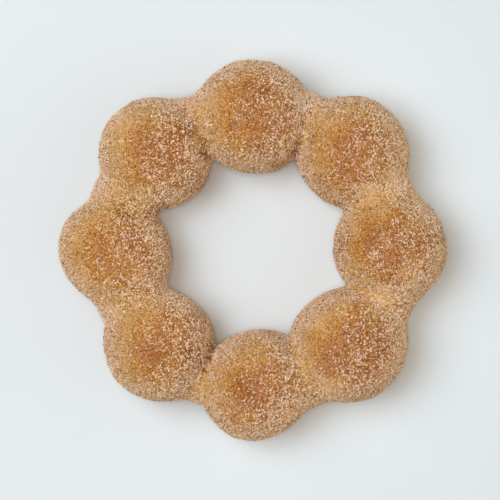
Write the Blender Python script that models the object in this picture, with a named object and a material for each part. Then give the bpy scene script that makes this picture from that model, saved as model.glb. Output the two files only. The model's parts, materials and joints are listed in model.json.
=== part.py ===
"""Mochi doughnut: a ring of eight uneven balls of chewy dough, fried as one piece.

Metres, +Z up. It lies on the small flat spots under its balls at Z = 0, centred on
X = Y = 0. Each ball and each neck between two balls is an ellipsoid on the ring, and the
crust is the smooth skin that blends them all together.
"""

import math
from collections import namedtuple

import bmesh
import bpy
import numpy as np
from mathutils import Matrix, Vector, noise

NAME = "mochi_doughnut"

# Driving dimensions: angles in degrees, everything else in metres.
# The balls stand an eighth of a turn apart, anticlockwise from +X. "turn" is how far a ball
# sits from its even place, "reach" is from the ring's middle to the ball's middle, "width"
# is across the ring, "length" is along it, "lean" turns those two sides in the ring's
# plane, and "height" is the ball's before its foot is flattened.
Ball = namedtuple("Ball", "turn reach width length lean height")
BALLS = (
    Ball(turn=0.8, reach=0.0335, width=0.0279, length=0.0274, lean=-19, height=0.0262),
    Ball(turn=-0.7, reach=0.0340, width=0.0270, length=0.0282, lean=-4, height=0.0258),
    Ball(turn=-0.3, reach=0.0325, width=0.0277, length=0.0284, lean=-23, height=0.0264),
    Ball(turn=0.3, reach=0.0334, width=0.0270, length=0.0279, lean=-71, height=0.0258),
    Ball(turn=1.1, reach=0.0336, width=0.0284, length=0.0257, lean=-32, height=0.0255),
    Ball(turn=0.5, reach=0.0326, width=0.0267, length=0.0276, lean=-29, height=0.0254),
    Ball(turn=1.7, reach=0.0330, width=0.0263, length=0.0279, lean=43, height=0.0257),
    Ball(turn=0.1, reach=0.0329, width=0.0280, length=0.0291, lean=-29, height=0.0266),
)
# A neck lies about halfway between two balls, the first of them between balls 0 and 1.
Neck = namedtuple("Neck", "turn reach width height")
NECKS = (
    Neck(turn=-1.9, reach=0.0333, width=0.0170, height=0.0160),
    Neck(turn=-1.1, reach=0.0342, width=0.0133, height=0.0126),
    Neck(turn=2.5, reach=0.0344, width=0.0126, height=0.0118),
    Neck(turn=1.7, reach=0.0334, width=0.0166, height=0.0164),
    Neck(turn=-0.5, reach=0.0318, width=0.0172, height=0.0164),
    Neck(turn=1.1, reach=0.0342, width=0.0115, height=0.0104),
    Neck(turn=-0.8, reach=0.0335, width=0.0154, height=0.0152),
    Neck(turn=4.3, reach=0.0346, width=0.0141, height=0.0162),
)
NECK_LENGTH = 0.0160
NECK_MIDDLE = 0.0124  # height of a neck's middle above the table
FOOT_DEPTH = 0.0006  # how much of each ball is pressed flat where it rests
CREASE_BLEND = 0.0006  # how far the dough fills the crease where two shapes meet

# The fried skin is never quite even.
DIMPLE_DEPTH = 0.00022
DIMPLE_SPACING = 0.0090
DIMPLE_PLACE = Vector((3.7, 1.3, 8.2))

# With 16 columns to a ball, the mesh has one on or near every crease, and the columns there
# stand closer together, by the crowding's share of their even spacing.
RING_REACH = 0.0332
RING_COLUMNS = 16 * len(BALLS)
RING_ROWS = 36
CREASE_CROWDING = 0.6
RAY_LONGEST = 0.0200
RAY_HALVINGS = 26

CRUST_COLOUR = (0.610, 0.370, 0.180, 1.0)
CRUST_ROUGHNESS = 0.80


def clear_scene():
    for obj in list(bpy.data.objects):
        bpy.data.objects.remove(obj, do_unlink=True)


def crust_material():
    material = bpy.data.materials.new("fried_dough")
    material.use_nodes = True
    shader = material.node_tree.nodes["Principled BSDF"]
    shader.inputs["Base Color"].default_value = CRUST_COLOUR
    shader.inputs["Roughness"].default_value = CRUST_ROUGHNESS
    shader.inputs["Metallic"].default_value = 0.0
    material.diffuse_color = CRUST_COLOUR
    return material


def on_ring(reach, angle, height):
    return np.array((reach * math.cos(angle), reach * math.sin(angle), height))


def ellipsoids():
    """Every ball and neck as (direction of its width, middle, half sizes)."""
    step = math.tau / len(BALLS)
    for index, (ball, neck) in enumerate(zip(BALLS, NECKS)):
        angle = index * step + math.radians(ball.turn)
        middle = on_ring(ball.reach, angle, ball.height / 2 - FOOT_DEPTH)
        sizes = np.array((ball.width, ball.length, ball.height))
        yield angle + math.radians(ball.lean), middle, sizes / 2
        angle = (index + 0.5) * step + math.radians(neck.turn)
        middle = on_ring(neck.reach, angle, NECK_MIDDLE)
        sizes = np.array((neck.width, NECK_LENGTH, neck.height))
        yield angle, middle, sizes / 2


def distance_to_skin(points):
    """About how far each point is outside the blended shapes; negative inside them."""
    nearness = np.zeros(len(points))
    for angle, middle, half in ellipsoids():
        offset = points - middle
        across = offset[:, 0] * math.cos(angle) + offset[:, 1] * math.sin(angle)
        along = offset[:, 1] * math.cos(angle) - offset[:, 0] * math.sin(angle)
        scaled = np.stack([across, along, offset[:, 2]], axis=1) / half
        reach = np.linalg.norm(scaled, axis=1)
        slope = np.linalg.norm(scaled / half, axis=1)
        distance = reach * (reach - 1) / np.maximum(slope, 1e-9)
        nearness += np.exp(-distance / CREASE_BLEND)
    return -CREASE_BLEND * np.log(nearness)


def crowd_at_creases(point):
    """The point turned round the ring's middle, towards the nearest crease."""
    past_crease = len(BALLS) * math.atan2(point.y, point.x) - math.pi
    turn = -CREASE_CROWDING * math.sin(past_crease) / len(BALLS)
    return Matrix.Rotation(turn, 3, "Z") @ point


def rays_from_ring(mesh):
    """For each vertex, its point on the ring's centre line and its direction from there."""
    starts, directions = [], []
    for vertex in mesh.vertices:
        place = crowd_at_creases(vertex.co)
        start = Vector((place.x, place.y, 0)).normalized() * RING_REACH
        directions.append((place - start).normalized())
        starts.append(start + Vector((0, 0, NECK_MIDDLE)))
    return np.array(starts), np.array(directions)


def skin_points(starts, directions):
    """Where each ray leaves the dough, found by halving."""
    near = np.zeros(len(starts))
    far = np.full(len(starts), RAY_LONGEST)
    for _ in range(RAY_HALVINGS):
        half_way = (near + far) / 2
        inside = distance_to_skin(starts + directions * half_way[:, None]) < 0
        near = np.where(inside, half_way, near)
        far = np.where(inside, far, half_way)
    return starts + directions * near[:, None]


def dimple(point):
    return DIMPLE_DEPTH * noise.noise(Vector(point) / DIMPLE_SPACING + DIMPLE_PLACE)


def flatten_feet(mesh):
    """Cut the balls off level with the table and close the cuts."""
    shape = bmesh.new()
    shape.from_mesh(mesh)
    everything = shape.verts[:] + shape.edges[:] + shape.faces[:]
    bmesh.ops.bisect_plane(shape, geom=everything, plane_no=(0, 0, 1), clear_inner=True)
    rims = [edge for edge in shape.edges if edge.is_boundary]
    bmesh.ops.holes_fill(shape, edges=rims)
    bmesh.ops.recalc_face_normals(shape, faces=shape.faces)
    shape.to_mesh(mesh)
    shape.free()


def centre_on_origin(mesh):
    for axis in (0, 1):
        places = [vertex.co[axis] for vertex in mesh.vertices]
        middle = (min(places) + max(places)) / 2
        for vertex in mesh.vertices:
            vertex.co[axis] -= middle


def make_doughnut():
    bpy.ops.mesh.primitive_torus_add(
        major_radius=RING_REACH,
        minor_radius=BALLS[0].width / 2,
        major_segments=RING_COLUMNS,
        minor_segments=RING_ROWS,
    )
    doughnut = bpy.context.object
    doughnut.name = NAME
    doughnut.data.name = NAME
    mesh = doughnut.data
    starts, directions = rays_from_ring(mesh)
    places = skin_points(starts, directions)
    for vertex, place, direction in zip(mesh.vertices, places, directions):
        vertex.co = Vector(place) + Vector(direction) * dimple(place)
    flatten_feet(mesh)
    centre_on_origin(mesh)
    mesh.shade_smooth()
    mesh.set_sharp_from_angle(angle=math.radians(35))
    mesh.materials.append(crust_material())
    return doughnut


def main():
    clear_scene()
    doughnut = make_doughnut()
    for collection in list(doughnut.users_collection):
        collection.objects.unlink(doughnut)
    pieces = bpy.data.collections.new(NAME)
    bpy.context.scene.collection.children.link(pieces)
    pieces.objects.link(doughnut)


main()
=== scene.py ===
import json
import math

import bpy
from mathutils import Matrix, Vector

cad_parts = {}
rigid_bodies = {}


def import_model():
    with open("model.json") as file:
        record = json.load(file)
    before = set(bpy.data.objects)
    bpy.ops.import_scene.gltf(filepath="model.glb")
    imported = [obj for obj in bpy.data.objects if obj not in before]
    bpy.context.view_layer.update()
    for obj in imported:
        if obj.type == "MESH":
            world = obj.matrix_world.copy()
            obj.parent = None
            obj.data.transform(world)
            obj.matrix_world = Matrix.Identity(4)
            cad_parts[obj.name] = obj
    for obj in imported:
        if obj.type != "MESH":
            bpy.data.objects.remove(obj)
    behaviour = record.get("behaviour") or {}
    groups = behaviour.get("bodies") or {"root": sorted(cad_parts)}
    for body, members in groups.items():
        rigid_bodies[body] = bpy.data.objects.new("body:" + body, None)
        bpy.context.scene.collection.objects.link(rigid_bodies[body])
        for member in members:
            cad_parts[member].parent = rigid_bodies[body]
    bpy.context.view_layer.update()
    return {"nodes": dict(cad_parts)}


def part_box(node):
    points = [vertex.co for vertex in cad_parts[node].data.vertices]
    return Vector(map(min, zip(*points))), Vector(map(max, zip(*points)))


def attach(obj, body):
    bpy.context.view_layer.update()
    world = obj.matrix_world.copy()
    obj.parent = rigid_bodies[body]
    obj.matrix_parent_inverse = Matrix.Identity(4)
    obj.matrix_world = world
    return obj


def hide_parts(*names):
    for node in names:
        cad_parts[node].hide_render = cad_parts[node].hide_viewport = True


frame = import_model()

# ---------------------------------------------------------------- the fried dough
# One ring of eight dough balls that swelled together in the oil, which left shallow dimples and
# small blisters in the crust. Tops and undersides lay in the oil and browned; the waist stayed
# pale. The crust is a copy of the solid's skin, rounded like dough.
DOUGH = "mochi_doughnut"
MERGE = 0.00001  # corners closer than this are one
PAIR_BEND = 60  # two triangles become one face where they meet at less than this, in degrees
PAIR_SKEW = 80  # and where the face's corners are no further than this from square
ROUNDINGS = 2  # how often each face is parted in four and rounded
DIMPLES = (0.0060, 0.00032)  # spacing and depth
BLISTERS = (0.0017, 0.00012)
FOOT_LEVEL = 0.00025  # thickness of the sugar that is pressed under the feet
SHARP = 40  # an edge sharper than this would stay an edge, in degrees

lowest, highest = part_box(DOUGH)
WAIST = (lowest.z + highest.z) / 2

bpy.ops.object.select_all(action="DESELECT")
crust = bpy.data.objects.new("crust", frame["nodes"][DOUGH].data.copy())
bpy.context.collection.objects.link(crust)
crust.select_set(True)
bpy.context.view_layer.objects.active = crust
crust.data.materials.clear()
bpy.ops.object.mode_set(mode="EDIT")
bpy.ops.mesh.select_all(action="SELECT")
bpy.ops.mesh.remove_doubles(threshold=MERGE)
bpy.ops.mesh.tris_convert_to_quads(face_threshold=math.radians(PAIR_BEND),
                                   shape_threshold=math.radians(PAIR_SKEW))
bpy.ops.mesh.mark_sharp(clear=True)
bpy.ops.object.mode_set(mode="OBJECT")


def apply_modifiers(piece):
    bpy.context.view_layer.objects.active = piece
    for modifier in list(piece.modifiers):
        bpy.ops.object.modifier_apply(modifier=modifier.name)


swell = crust.modifiers.new("soft_dough", "SUBSURF")
swell.levels = ROUNDINGS
swell.render_levels = ROUNDINGS
for name, (spacing, depth) in (("dimples", DIMPLES), ("blisters", BLISTERS)):
    bumps = bpy.data.textures.new(name, "CLOUDS")
    bumps.noise_scale = spacing
    bumps.noise_depth = 1
    relief = crust.modifiers.new(name, "DISPLACE")
    relief.texture = bumps
    relief.texture_coords = "LOCAL"
    # the skin moves half of the strength out and half of it in
    relief.strength = depth * 2
    relief.mid_level = 0.5
apply_modifiers(crust)
for vertex in crust.data.vertices:
    vertex.co.z = max(vertex.co.z, FOOT_LEVEL)
bpy.ops.object.shade_smooth_by_angle(angle=math.radians(SHARP))


def add(tree, kind, inputs=None, **settings):
    """A node with its settings made and its inputs set or linked, by name or by number."""
    new = tree.nodes.new(kind)
    for name, value in settings.items():
        setattr(new, name, value)
    for name, value in (inputs or {}).items():
        if isinstance(value, bpy.types.NodeSocket):
            tree.links.new(value, new.inputs[name])
        else:
            new.inputs[name].default_value = value
    return new


def calc(tree, operation, *values):
    """A sum, product or the like of the values."""
    return add(tree, "ShaderNodeMath", dict(enumerate(values)), operation=operation).outputs[0]


def spread(tree, value, low, high, to_low=0.0, to_high=1.0, kind="LINEAR"):
    """The value moved from one range to another, and kept inside it."""
    ranges = {"Value": value, "From Min": low, "From Max": high, "To Min": to_low, "To Max": to_high}
    return add(tree, "ShaderNodeMapRange", ranges, interpolation_type=kind).outputs["Result"]


def noise_of(tree, place, size, detail, seed):
    """Soft noise from 0 to 1 whose lumps are about the given size."""
    inputs = {"Vector": place, "W": seed, "Scale": 1 / size, "Detail": detail}
    return add(tree, "ShaderNodeTexNoise", inputs, noise_dimensions="4D").outputs[0]


SWAY_DETAIL = 2.0
MOST_NOISE = (0.3, 0.7)  # nearly all of the noise lies between these


def sway(tree, value, place, size, amount, seed):
    """The value made uneven by noise, up or down by the amount."""
    noise = noise_of(tree, place, size, SWAY_DETAIL, seed)
    return calc(tree, "ADD", value, spread(tree, noise, *MOST_NOISE, -amount, amount))


def start_geometry(piece, name):
    """A geometry tree on the piece, with its input and output made."""
    tree = bpy.data.node_groups.new(name, "GeometryNodeTree")
    tree.interface.new_socket("Geometry", in_out="INPUT", socket_type="NodeSocketGeometry")
    tree.interface.new_socket("Geometry", in_out="OUTPUT", socket_type="NodeSocketGeometry")
    piece.modifiers.new(name, "NODES").node_group = tree
    return tree, tree.nodes.new("NodeGroupInput").outputs[0], tree.nodes.new("NodeGroupOutput").inputs[0]


def keep(tree, geometry, name, value):
    """The geometry with a value kept on its points under a name."""
    inputs = {"Geometry": geometry, "Name": name, "Value": value}
    return add(tree, "GeometryNodeStoreNamedAttribute", inputs, data_type="FLOAT", domain="POINT").outputs[0]


# Six values are kept on the crust's points, for its own finish and for the sugar's: "toast", how
# brown it is; "pale", which patches came out paler or (below zero) darker than the rest, the darker
# ones partly painted shade in and beside the creases; "powder", how thickly the finest sugar lies,
# which is on the steep sides and is painted paler on the side the light comes from and darker
# opposite; "bare", where it is thin, which is below; then how much coarse sugar there is, painted
# whiter with shaded gaps on the side of each crown away from the window, where light grazes it:
# painted light and shade; and "lump", where damp sugar stuck together.

# The browning goes by the height above or below the waist.
PALE_TO = 0.0070  # height from the waist where it starts
BROWN_FROM = 0.0128  # and where it is full
BROWN_SHADE_DROP = 0.0013  # how much further it comes down on the side of a ball away from the window: painted shade
PALE_LESS = 0.35  # how much less brown a pale patch is

# The steepness goes by the upright part of the crust's direction, 1 on a crown and 0 at the waist.
POWDER_FROM = (0.70, 0.88)  # where powder starts, on the window's side and on the side away from it, where starting nearer the top paints the grazed side whiter: painted light
POWDER_FULL = 0.57  # and where it is full
POWDER_LIT_SIDE = Vector((-0.60, 0.80, 0.0))  # the upper left, where the light comes from and the powder is painted thickest and palest: painted light
SHADED_SIDE_POWDER = 0.62  # and how thick it is opposite, where it is painted thinner and darker: painted shade
MOST_POWDER = 1.5  # where powdery patches overlap
BARE = (0.10, -0.30)  # where the sugar gets thinner, and where it is thinnest
SPARKLE_SIDE = Vector((0.95, -0.31, 0.0))  # the side away from the window, where light grazes the crowns and the coarse sugar is painted whiter: painted light
SPARKLE_FLAT = (0.45, 0.80)  # where that starts, and where it is full

# How far the crust faces such a side, from -1 to 1, where a change from the opposite side starts
# and where it is over.
START_TURN = (-0.3, 0.3)  # of where the powder starts
POWDER_TURN = (-0.5, 0.5)  # of how thick it is painted
SPARKLE_TURN = (-0.50, 0.30)  # of the coarse sugar's painted light

# How uneven each is: the size of the noise, how far it moves the value up or down, and its seed.
BROWN_SWAY = (0.0060, 0.0018, 0.0)
POWDER_SWAY = (0.0030, 0.10, 5.0)
SPARKLE_SWAYS = ((0.0040, 0.30, 9.0), (0.0015, 0.25, 14.0), (0.0008, 0.30, 17.0))

# Each patch adds to one of the values: where its middle is from above and its radius, in mm, and
# how much it adds there.
PER_METRE = 1000
RAGGED = 0.15  # how far a patch's edge wanders in or out, as a part of its radius
RAGGED_SIZE = 0.0030
RAGGED_SEED = 21.0
# Patches below zero are darker: partly painted shade, in and beside the creases between the balls and on
# rims turned from the light.
PALE_AND_SHADED_PATCHES = (
    (34, 16, 5.0, 1.0), (28, 14, 4.0, 1.5), (37, -6, 5.0, 1.1), (31, -11, 4.5, 1.0),
    (22, -15, 4.0, 0.5), (16, -17, 5.0, 1.0), (-35, 16, 4.5, 0.6), (-34, -15, 4.5, 0.5),
    (-40, -7, 3.5, 0.5), (-28, -6, 4.0, 0.6), (18, -33, 4.5, 0.7), (35, 26, 4.0, 0.4),
    (-14, 35, 4.5, 0.6), (15, 36, 4.0, 0.6), (-15, -25, 5.0, -1.1), (-16, 29, 4.0, -1.0),
    (28, 3, 5.0, -0.5), (30, 9, 4.0, 0.3), (44, 4, 4.5, -0.8), (31, -24, 4.0, -0.6),
    (-2, -34, 4.5, -0.6), (26, -34, 4.0, -0.6), (3, 38, 4.0, -0.5), (15, 27, 3.5, -0.5),
    (-23, -25, 4.5, -0.7), (21, 1, 6.5, -0.7), (16, 15, 6.0, -0.4), (28, 20, 4.0, 0.5),
    (-14, 16, 6.0, -0.5), (-20, 0, 5.0, -0.4), (-27, -4, 4.0, 0.4), (-23, 9, 5.0, -1.1),
    (-31, 9, 4.0, -0.9), (-36, 3, 3.5, -0.5), (-37, -10, 4.0, 0.4), (-15, -18, 5.0, -0.6),
    (6, 22, 4.0, -0.7), (-32, 30, 5.5, 0.8), (-9, 35, 4.5, 0.4), (-42, 3, 4.0, 0.2),
    (21, 30, 4.0, 0.3), (-3, -31, 5.0, -0.4),
    # three creases between balls, each from the hole outwards, painted dark: painted shade
    (-9.9, -23.6, 1.8, -2.0), (-11.0, -26.4, 1.6, -1.6), (-12.0, -29.2, 1.5, -1.2),
    (-12.0, 23.0, 2.2, -2.0), (-11.4, 26.0, 1.5, -1.4),
    (10.2, 23.6, 1.7, -1.6), (10.9, 25.8, 1.5, -1.2),
)
POWDER_PATCHES = (
    (-37, 15, 5.0, 1.1), (-36, -16, 5.0, 1.1), (-24, -6, 3.0, 0.3), (13, 36, 5.0, 0.9),
    (-15, 37, 5.0, 0.9), (36, 16, 4.0, 0.4), (-5, 43, 4.5, 0.4), (-6, -38, 5.0, 0.4),
    (5, -39, 5.0, 0.4), (16, -29, 4.0, 0.3), (16, 26, 4.5, -0.6), (24, 34, 4.0, -0.3),
    (30, 10, 4.0, -0.7), (28, -13, 3.5, -0.7), (-34, 28, 4.0, -0.4), (21, 30, 4.0, -0.3),
    (-13, 27, 4.0, -0.4), (-43, 0, 4.0, -0.5), (-31, -7, 3.5, -0.4), (-30, -23, 4.0, 0.3),
)
# patches that make the coarse sugar's painted light stronger or weaker here and there
SPARKLE_PATCHES = (
    (-21, 28, 4.0, 0.5), (-33, 8, 4.0, 0.3), (5, -37, 6.0, 0.3), (30, -2, 4.0, 0.4),
    (30, 9, 4.5, -0.9), (-3, 23, 3.5, 0.6), (-24, -25, 5.0, -0.5), (-36, 1, 4.0, -0.5),
    (24, 24, 4.0, 0.3), (25, -27, 4.5, 0.4), (1, 29, 5.0, -0.6), (-29, 26, 4.0, -0.4),
    (21, 28, 4.5, -0.4),
)
LUMPS = (
    (29.0, -0.9, 1.2, 0.9), (32.4, 2.0, 1.2, 0.6), (34.0, 6.8, 1.1, 0.6), (38.5, 1.8, 1.1, 0.7),
    (12.7, 28.0, 1.2, 0.7), (-3.1, 23.0, 1.0, 0.7), (-10.6, 30.4, 1.2, 0.7), (-15.8, 23.2, 1.0, 0.6),
    (-21.4, 24.2, 1.2, 0.7), (-31.5, 26.4, 1.0, 0.8), (-37.2, 5.7, 1.3, 0.8), (-31.1, 3.0, 1.3, 0.6),
    (-9.2, -25.5, 1.1, 0.7), (25.2, -25.8, 1.1, 0.7),
)


def patched(tree, place, value, patches):
    """The value with each patch added, most in its middle and less and less towards its edge."""
    flat = add(tree, "ShaderNodeVectorMath", {0: place, 1: (1, 1, 0)}, operation="MULTIPLY").outputs[0]
    for x, y, radius, amount in patches:
        middle = (x / PER_METRE, y / PER_METRE, 0)
        radius = radius / PER_METRE
        away = add(tree, "ShaderNodeVectorMath", {0: flat, 1: middle}, operation="DISTANCE").outputs["Value"]
        away = sway(tree, away, place, RAGGED_SIZE, radius * RAGGED, RAGGED_SEED)
        more = spread(tree, away, 0.0, radius, amount, 0.0, kind="SMOOTHSTEP")
        value = calc(tree, "ADD", value, more)
    return value


def towards(tree, facing, side):
    """How far the crust faces a side, from -1 to 1."""
    return add(tree, "ShaderNodeVectorMath", {0: facing, 1: side}, operation="DOT_PRODUCT").outputs["Value"]


tree, skin, result = start_geometry(crust, "browning")
place = add(tree, "GeometryNodeInputPosition").outputs[0]
facing = add(tree, "GeometryNodeInputNormal").outputs[0]
height = add(tree, "ShaderNodeSeparateXYZ", {"Vector": place}).outputs["Z"]
up = add(tree, "ShaderNodeSeparateXYZ", {"Vector": facing}).outputs["Z"]
upright = calc(tree, "ABSOLUTE", up)
away_from_window = towards(tree, facing, SPARKLE_SIDE)

pale = patched(tree, place, 0.0, PALE_AND_SHADED_PATCHES)
skin = keep(tree, skin, "pale", pale)

rise = calc(tree, "ABSOLUTE", calc(tree, "SUBTRACT", height, WAIST))
rise = sway(tree, rise, place, *BROWN_SWAY)
# the browning painted further down on the side away from the window: painted shade
rise = calc(tree, "ADD", rise, calc(tree, "MULTIPLY", away_from_window, BROWN_SHADE_DROP))
toast = spread(tree, rise, PALE_TO, BROWN_FROM, kind="SMOOTHSTEP")
toast = calc(tree, "SUBTRACT", toast, calc(tree, "MULTIPLY", pale, PALE_LESS))
skin = keep(tree, skin, "toast", toast)

powder_from = spread(tree, away_from_window, *START_TURN, *POWDER_FROM)
powder = spread(tree, sway(tree, upright, place, *POWDER_SWAY), powder_from, POWDER_FULL)
# the rims painted paler towards the light and darker away from it: painted light and shade
lit_thickness = spread(tree, towards(tree, facing, POWDER_LIT_SIDE), *POWDER_TURN, SHADED_SIDE_POWDER, 1.0)
powder = patched(tree, place, calc(tree, "MULTIPLY", powder, lit_thickness), POWDER_PATCHES)
powder = spread(tree, powder, 0.0, MOST_POWDER, 0.0, MOST_POWDER)
skin = keep(tree, skin, "powder", powder)
skin = keep(tree, skin, "bare", spread(tree, up, *BARE))

for unevenness in SPARKLE_SWAYS:
    away_from_window = sway(tree, away_from_window, place, *unevenness)
away_from_window = patched(tree, place, away_from_window, SPARKLE_PATCHES)
# coarse sugar painted whiter where the light grazes the crown: painted light
drift = calc(tree, "MULTIPLY", spread(tree, away_from_window, *SPARKLE_TURN), spread(tree, upright, *SPARKLE_FLAT))
skin = keep(tree, skin, "drift", drift)
skin = keep(tree, skin, "lump", patched(tree, place, 0.0, LUMPS))
tree.links.new(skin, result)
apply_modifiers(crust)


def start_material(name, roughness, shine):
    """A material, its node tree and its shader."""
    material = bpy.data.materials.new(name)
    material.use_nodes = True
    shader = material.node_tree.nodes["Principled BSDF"]
    shader.inputs["Roughness"].default_value = roughness
    shader.inputs["Specular IOR Level"].default_value = shine
    return material, material.node_tree, shader


def kept(tree, name):
    """A value that was kept on the points, for a finish or for the sugar's places."""
    if tree.type == "GEOMETRY":
        return add(tree, "GeometryNodeInputNamedAttribute", {"Name": name}, data_type="FLOAT").outputs[0]
    return add(tree, "ShaderNodeAttribute", attribute_name=name).outputs["Fac"]


def here(tree, amounts):
    """The amount at each point: on plain crust, and what powder, the coarse sugar's painted light and pale
    patches add.
    """
    total = amounts[0]
    for name, more in zip(("powder", "drift", "pale"), amounts[1:]):
        total = calc(tree, "ADD", total, calc(tree, "MULTIPLY", kept(tree, name), more))
    return total


def ramp_of(tree, value, *stops):
    """A colour that follows the value through the stops, each a position and a colour."""
    ramp = add(tree, "ShaderNodeValToRGB", {"Fac": value})
    marks = ramp.color_ramp.elements
    for mark, (position, colour) in zip(marks, (stops[0], stops[-1])):
        mark.position = position
        mark.color = (*colour, 1)
    for position, colour in stops[1:-1]:
        marks.new(position).color = (*colour, 1)
    return ramp.outputs["Color"]


def mix(tree, share, one, other):
    """The two colours mixed; the share is the other's."""
    new = add(tree, "ShaderNodeMix", {0: share}, data_type="RGBA")
    # the node's colour sockets are numbers 6 and 7, and its mixed colour is output 2
    for number, colour in ((6, one), (7, other)):
        if isinstance(colour, bpy.types.NodeSocket):
            tree.links.new(colour, new.inputs[number])
        else:
            new.inputs[number].default_value = (*colour, 1)
    return new.outputs[2]


PALE_DOUGH = (0.82, 0.53, 0.185)
GOLDEN = (0.71, 0.335, 0.032)
ORANGE_BROWN = (0.52, 0.19, 0.020)
GOLDEN_AT = 0.45  # how brown golden is, between pale dough and orange brown
POWDER = (0.84, 0.58, 0.38)
STAIN_AND_SHADE = (0.22, 0.067, 0.015)  # cinnamon in oil, and the dark of the painted shade in creases and between crumbs
STAIN_AND_SHADE_AT = (-0.6, -2.2)  # the "pale" where the stain and the painted shade start, and where they are strongest
MOST_STAIN_AND_SHADE = 0.8
VEIL = (0.45, 0.10)  # how much full powder hides the crust, above and on its bare underside


def dough_colour(tree):
    """The crust's colour by its browning, darkened in the creases and dark patches with painted shade, under
    its thin veil of powder.
    """
    fried = ramp_of(tree, kept(tree, "toast"), (0.0, PALE_DOUGH), (GOLDEN_AT, GOLDEN), (1.0, ORANGE_BROWN))
    # the dark patches and creases stained dark: painted shade
    stain_and_shade = spread(tree, kept(tree, "pale"), *STAIN_AND_SHADE_AT, 0.0, MOST_STAIN_AND_SHADE)
    fried = mix(tree, stain_and_shade, fried, STAIN_AND_SHADE)
    veil = calc(tree, "MULTIPLY", kept(tree, "powder"), spread(tree, kept(tree, "bare"), 0.0, 1.0, *VEIL))
    return mix(tree, veil, fried, POWDER)


# Between the crystals the crust is covered in crumbs of sugar and cinnamon too fine to be
# pieces: a cell pattern, each cell pale, bare or stained, with dark lines between that are
# painted shade where the crumbs meet. Each cell draws a lot from 0 to 1.
CRUMB = 0.00028  # across a cell
CRUMB_HEIGHT = 0.00008
CRUMB_BUMP = 0.9
STAINED_LOT = (0.34, 0.22)  # where a cell starts to be stained, and where it is fully stained
PALE_LOT = (0.92, 1.08)  # the same for pale, with PALE_CELLS added to the lot
LINE = (0.36, 0.64)  # how far from a cell's middle a line starts and is darkest, in cells
DOME = 0.6  # how far out a crumb's rounded top goes
# On plain crust, and what powder, the coarse sugar's painted light and pale patches add to that; what the
# painted light and the dark patches add to the stained cells and lines is painted shade.
PALE_CELLS = (0.34, 0.30, 0.10, 0.20)  # the share of pale cells
PALENESS = (0.45, 0.45, 0.0, 0.0)  # how pale they are
STAINING = (0.60, 0.25, 0.25, -0.30)  # how dark the stained ones are
SHADED_LINES = (0.50, 0.20, 0.20, -0.20)  # how dark the lines of painted shade are

dough, tree, shader = start_material("fried_dough", roughness=0.60, shine=0.22)
place = add(tree, "ShaderNodeTexCoord").outputs["Object"]
cells = add(tree, "ShaderNodeTexVoronoi", {"Vector": place, "Scale": 1 / CRUMB, "Randomness": 1.0})
lot = add(tree, "ShaderNodeSeparateColor", {"Color": cells.outputs["Color"]}).outputs[0]
base = dough_colour(tree)
pale = spread(tree, calc(tree, "ADD", lot, here(tree, PALE_CELLS)), *PALE_LOT)
colour = mix(tree, calc(tree, "MULTIPLY", pale, here(tree, PALENESS)), base, POWDER)
stained = spread(tree, lot, *STAINED_LOT)
colour = mix(tree, calc(tree, "MULTIPLY", stained, here(tree, STAINING)), colour, STAIN_AND_SHADE)
# lines between the cells darkened: painted shade where the crumbs meet
line = spread(tree, cells.outputs["Distance"], *LINE, kind="SMOOTHSTEP")
colour = mix(tree, calc(tree, "MULTIPLY", line, here(tree, SHADED_LINES)), colour, STAIN_AND_SHADE)
tree.links.new(colour, shader.inputs["Base Color"])
dome = spread(tree, cells.outputs["Distance"], 0.0, DOME, 1.0, 0.0, kind="SMOOTHSTEP")
bump = add(tree, "ShaderNodeBump", {"Height": dome, "Distance": CRUMB_HEIGHT, "Strength": CRUMB_BUMP})
tree.links.new(bump.outputs["Normal"], shader.inputs["Normal"])
crust.data.materials.append(dough)
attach(crust, "root")
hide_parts(DOUGH)

# ---------------------------------------------------------------- the sugar coat
# Granulated sugar and cinnamon that the hot doughnut was rolled in: boxy white crystals, and
# broken chips that are buttery, honey-coloured or stained by the cinnamon. They lie half sunk
# in one layer, each kind made one mesh, with dark cinnamon flakes on top.
CRYSTALS = (
    # its sides, and how far its top is pushed over, as parts of a crystal's size
    ((1.00, 0.80, 0.66), (0.16, 0.08, 0)),
    ((0.86, 0.86, 0.80), (-0.10, 0.14, 0)),
    ((1.30, 0.62, 0.56), (0.20, -0.06, 0)),
    ((0.78, 0.66, 0.92), (-0.14, -0.10, 0)),
)
CRYSTAL_TOP = (0.84, 0.80, 1)  # how much smaller its top is
UPWARDS = 0.9  # a face whose direction has at least this upright part is the top
CHIPS = (
    # its sides, and how far its tip is pushed over
    ((1.1, 0.9, 1.2), (0.15, 0.05, 0)),
    ((1.4, 0.8, 1.1), (-0.10, 0.20, 0)),
    ((1.0, 1.0, 1.4), (0.05, -0.15, 0)),
)


def pick_top(grain):
    """Only what is above the grain's middle is selected."""
    for face in grain.data.polygons:
        face.select = face.normal.z > UPWARDS
    for edge in grain.data.edges:
        edge.select = all(grain.data.vertices[end].co.z > 0 for end in edge.vertices)
    for vertex in grain.data.vertices:
        vertex.select = vertex.co.z > 0


def boxy_crystal(sides, push):
    """A block a metre across, smaller at its top, which is pushed to one side."""
    bpy.ops.mesh.primitive_cube_add(size=1)
    crystal = bpy.context.object
    bpy.ops.object.mode_set(mode="EDIT")
    bpy.ops.transform.resize(value=sides)
    bpy.ops.object.mode_set(mode="OBJECT")
    pick_top(crystal)
    bpy.ops.object.mode_set(mode="EDIT")
    bpy.ops.transform.translate(value=push)
    bpy.ops.transform.resize(value=CRYSTAL_TOP)
    bpy.ops.object.mode_set(mode="OBJECT")
    return crystal


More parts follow.
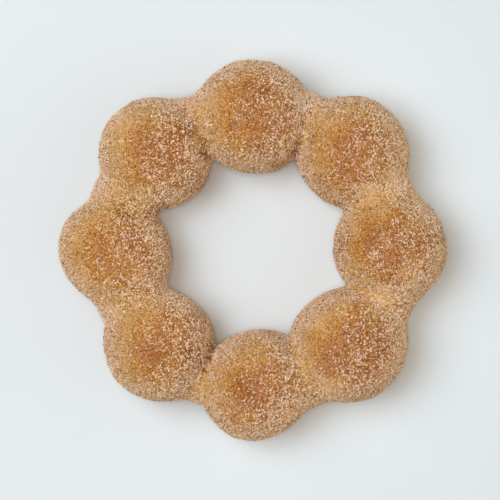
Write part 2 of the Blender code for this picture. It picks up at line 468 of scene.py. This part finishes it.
def chip(sides, push):
    """A splinter of four faces a metre across, whose tip is pushed to one side."""
    bpy.ops.mesh.primitive_cone_add(vertices=3, radius1=0.5, depth=0.5)
    splinter = bpy.context.object
    pick_top(splinter)
    bpy.ops.object.mode_set(mode="EDIT")
    bpy.ops.transform.translate(value=push)
    bpy.ops.mesh.select_all(action="SELECT")
    bpy.ops.transform.resize(value=sides)
    bpy.ops.object.mode_set(mode="OBJECT")
    return splinter


def set_aside(name, grains):
    """The grains, moved to a collection that isn't in the scene."""
    collection = bpy.data.collections.new(name)
    for number, grain in enumerate(grains):
        grain.name = f"{name}_{number}"
        for holder in list(grain.users_collection):
            holder.objects.unlink(grain)
        collection.objects.link(grain)
    return collection


boxes = set_aside("crystal", [boxy_crystal(*crystal) for crystal in CRYSTALS])
chips = set_aside("chip", [chip(*splinter) for splinter in CHIPS])

# Where the coarse sugar is painted white, it lies in winding clumps with darker grains in the gaps between:
# painted shade.
CLUMPS = 0.0010  # how far apart the clumps lie
CLUMP_WIDTH = 0.12  # how far the noise is from its middle where a clump ends
CLUMP_DETAIL = 1.0
CLUMP_SEED = 31.0
CLUMPED = (0.35, 0.40)  # how much the lots of their grains are lowered, and those of the gaps raised
# What each place draws by chance; the numbers are added to the seed.
LOT, TINT, TURN, SHAPE, SIZE = 1, 2, 3, 4, 5
TABLE_LEVEL = (-1, -1, 0)  # no grain is lower than this


def scatter(name, shapes, size, share, material, spacing, crowding, seed, lift):
    """One mesh of grains of the given shapes, from the smallest to the largest size.

    Kinds with the same spacing, crowding and seed share one set of places: so many tries on
    a square of the spacing's side, less those that fall closer together than the spacing.
    Each place draws a lot, and a kind takes the places whose lot is in its share, which has a
    low and a high end. The lift is how far a grain's middle is above the crust, as a part of
    the largest size.
    """
    grains = bpy.data.objects.new(name, crust.data.copy())
    bpy.context.collection.objects.link(grains)
    tree, surface, result = start_geometry(grains, name)
    points = add(tree, "GeometryNodeDistributePointsOnFaces",
                 {"Mesh": surface, "Distance Min": spacing, "Density Max": crowding / spacing ** 2,
                  "Seed": seed}, distribute_method="POISSON")

    # the random value node has sockets for each type of value, so they go by number
    def draw(number, low=0.0, high=1.0):
        return add(tree, "FunctionNodeRandomValue", {2: low, 3: high, 8: seed + number},
                   data_type="FLOAT").outputs[1]

    place = add(tree, "GeometryNodeInputPosition").outputs[0]
    clump = noise_of(tree, place, CLUMPS, CLUMP_DETAIL, CLUMP_SEED)
    clump = calc(tree, "ABSOLUTE", calc(tree, "SUBTRACT", clump, 0.5))
    # the gaps between clumps given darker grains: painted shade
    gap = spread(tree, clump, 0.0, CLUMP_WIDTH, -CLUMPED[0], CLUMPED[1])
    lot = calc(tree, "ADD", draw(LOT), calc(tree, "MULTIPLY", kept(tree, "drift"), gap))
    lot = calc(tree, "SUBTRACT", lot, kept(tree, "lump"))
    low, high = share
    chosen = calc(tree, "MULTIPLY", calc(tree, "GREATER_THAN", lot, here(tree, low)),
                  calc(tree, "LESS_THAN", lot, here(tree, high)))
    placed = keep(tree, points.outputs["Points"], "tint", draw(TINT))
    raised = add(tree, "ShaderNodeVectorMath", {0: points.outputs["Normal"], "Scale": lift * size[1]},
                 operation="SCALE").outputs[0]
    placed = add(tree, "GeometryNodeSetPosition", {"Geometry": placed, "Offset": raised}).outputs[0]
    turn = add(tree, "FunctionNodeRandomValue", {0: (0, 0, 0), 1: (math.tau,) * 3, 8: seed + TURN},
               data_type="FLOAT_VECTOR").outputs[0]
    which = add(tree, "FunctionNodeRandomValue", {4: 0, 5: len(shapes.objects) - 1, 8: seed + SHAPE},
                data_type="INT").outputs[2]
    kinds = add(tree, "GeometryNodeCollectionInfo",
                {"Collection": shapes, "Separate Children": True, "Reset Children": True})
    placed = add(tree, "GeometryNodeInstanceOnPoints",
                 {"Points": placed, "Selection": chosen, "Instance": kinds.outputs[0],
                  "Pick Instance": True, "Instance Index": which, "Rotation": turn,
                  "Scale": draw(SIZE, *size)}).outputs[0]
    real = add(tree, "GeometryNodeRealizeInstances", {"Geometry": placed}).outputs[0]
    # the grains under the feet are pressed flat on the table
    level = add(tree, "ShaderNodeVectorMath", {0: place, 1: TABLE_LEVEL}, operation="MAXIMUM").outputs[0]
    real = add(tree, "GeometryNodeSetPosition", {"Geometry": real, "Position": level}).outputs[0]
    tree.links.new(real, result)
    apply_modifiers(grains)
    grains.data.materials.clear()
    grains.data.materials.append(material)
    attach(grains, "root")


BARE_THROUGH = 0.6  # how much more of the crust shows through the grains of the bare underside


def grain_material(name, roughness, shine, through, *tints):
    """Grain colours by lot, with some of the crust's colour showing through."""
    material, tree, shader = start_material(name, roughness, shine)
    own = ramp_of(tree, kept(tree, "tint"), *tints)
    through = spread(tree, kept(tree, "bare"), 0.0, 1.0, through, through + BARE_THROUGH)
    tree.links.new(mix(tree, through, own, dough_colour(tree)), shader.inputs["Base Color"])
    return material


# Each kind's roughness, its shine, how much of the crust shows through, and its tints.
white = grain_material("white_sugar", 0.40, 0.4, 0.15, (0.0, (0.76, 0.56, 0.40)),
                       (0.5, (0.84, 0.67, 0.51)), (1.0, (0.91, 0.78, 0.64)))
cream = grain_material("cream_sugar", 0.50, 0.4, 0.15, (0.0, (0.84, 0.60, 0.46)),
                       (0.4, (0.88, 0.69, 0.44)), (0.7, (0.89, 0.71, 0.58)), (1.0, (0.93, 0.79, 0.66)))
butter = grain_material("butter_sugar", 0.50, 0.4, 0.35, (0.0, (0.62, 0.34, 0.18)),
                        (0.4, (0.74, 0.50, 0.24)), (0.7, (0.78, 0.52, 0.34)), (1.0, (0.82, 0.60, 0.34)))
honey = grain_material("honey_sugar", 0.50, 0.3, 0.50, (0.0, (0.28, 0.09, 0.018)),
                       (0.5, (0.48, 0.22, 0.055)), (1.0, (0.62, 0.35, 0.17)))
stained = grain_material("stained_sugar", 0.55, 0.15, 0.25, (0.0, (0.155, 0.041, 0.009)),
                         (0.5, (0.24, 0.077, 0.020)), (1.0, (0.34, 0.140, 0.047)))
spice = grain_material("cinnamon", 0.80, 0.2, 0.0, (0.0, (0.12, 0.034, 0.013)),
                       (0.6, (0.22, 0.074, 0.028)), (1.0, (0.32, 0.14, 0.07)))

# The ends of the shares: on plain crust, and what powder, the coarse sugar's painted light and pale patches
# add to that. The painted light brings in the white crystals and more stained chips: painted sparkle, and
# painted shade between the clumps.
NONE = (-9.0, 0.0, 0.0, 0.0)
WHITE_TO = (0.0, 0.01, 0.20, 0.0)
CREAM_TO = (0.05, 0.46, 0.27, 0.08)
BUTTER_TO = (0.26, 0.47, 0.13, 0.30)
HONEY_TO = (0.57, 0.29, 0.03, 0.30)
STAINED_TO = (0.80, 0.18, 0.08, 0.13)
CINNAMON_TO = (0.40, 0.35, 0.0, -0.20)

# The smallest and the largest grains.
CRYSTAL_SIZE = (0.00026, 0.00044)
CHIP_SIZE = (0.00028, 0.00048)
STAINED_SIZE = (0.00028, 0.00046)
FLAKE_SIZE = (0.00034, 0.00064)

LAYER = dict(spacing=0.00021, crowding=1.6, seed=11, lift=0.08)
FLAKES = dict(spacing=0.00150, crowding=3.0, seed=71, lift=0.15)
scatter("white_sugar", boxes, CRYSTAL_SIZE, (NONE, WHITE_TO), white, **LAYER)
scatter("cream_sugar", chips, CHIP_SIZE, (WHITE_TO, CREAM_TO), cream, **LAYER)
scatter("butter_sugar", chips, CHIP_SIZE, (CREAM_TO, BUTTER_TO), butter, **LAYER)
scatter("honey_sugar", chips, CHIP_SIZE, (BUTTER_TO, HONEY_TO), honey, **LAYER)
scatter("stained_sugar", chips, STAINED_SIZE, (HONEY_TO, STAINED_TO), stained, **LAYER)
scatter("cinnamon", chips, FLAKE_SIZE, (NONE, CINNAMON_TO), spice, **FLAKES)

# ---------------------------------------------------------------- the table and the light
# A plain pale table under a window high on the left, with a cool patch of sky in it, a small warm
# lamp right above, and weak light from the pale walls on the right.
TABLE_SIZE = 3
TABLE_COLOUR = (0.695, 0.752, 0.778, 1)
LIGHT_AWAY = 0.90
ROOM_COLOUR = (1.0, 0.90, 0.75, 1)
ROOM_STRENGTH = 0.01

bpy.ops.mesh.primitive_plane_add(size=TABLE_SIZE)
table = bpy.context.object
table.name = "table"
table_top, tree, shader = start_material("pale_table", roughness=0.6, shine=0.5)
shader.inputs["Base Color"].default_value = TABLE_COLOUR
table.data.materials.append(table_top)


def light_up(name, size, height, side, strength, colour):
    """A square light turned to the doughnut, its height and side in degrees."""
    panel = bpy.data.lights.new(name, "AREA")
    panel.shape = "SQUARE"
    panel.size = size
    panel.energy = strength
    panel.color = colour
    light = bpy.data.objects.new(name, panel)
    direction = Vector((math.cos(math.radians(height)), 0, math.sin(math.radians(height))))
    direction = Matrix.Rotation(math.radians(side), 3, "Z") @ direction
    light.location = direction * LIGHT_AWAY
    light.rotation_euler = (-direction).to_track_quat("-Z", "Y").to_euler()
    bpy.context.collection.objects.link(light)


light_up("window", 0.65, 64, 165, 4.9, (1.0, 0.98, 0.98))
light_up("sky", 0.35, 70, 165, 2.0, (0.59, 0.83, 1.0))
light_up("lamp", 0.12, 90, 0, 2.5, (1.0, 0.79, 0.66))
light_up("near_wall", 1.20, 40, 0, 1.1, (1.0, 0.78, 0.60))
light_up("far_wall", 1.20, 40, 315, 1.5, (0.86, 0.96, 1.0))
light_up("low_wall", 0.80, 8, 0, 3.4, (0.75, 0.98, 1.0))

world = bpy.data.worlds.new("room")
world.use_nodes = True
world.node_tree.nodes["Background"].inputs["Color"].default_value = ROOM_COLOUR
world.node_tree.nodes["Background"].inputs["Strength"].default_value = ROOM_STRENGTH
bpy.context.scene.world = world
bpy.context.scene.view_settings.view_transform = "Standard"

# ---------------------------------------------------------------- the camera
# It looks straight down at the middle of the ring, from far enough away that the balls keep their
# round outlines.
FRAME_WIDTH = 0.1218  # at the height of the waist
CAMERA_HEIGHT = 0.70
OFF_CENTRE = (-0.00067, 0.00006)  # the picture's middle from the doughnut's

camera = bpy.data.objects.new("camera", bpy.data.cameras.new("camera"))
camera.location = (*OFF_CENTRE, CAMERA_HEIGHT)
camera.data.angle = 2 * math.atan(FRAME_WIDTH / 2 / (CAMERA_HEIGHT - WAIST))
bpy.context.collection.objects.link(camera)
bpy.context.scene.camera = camera
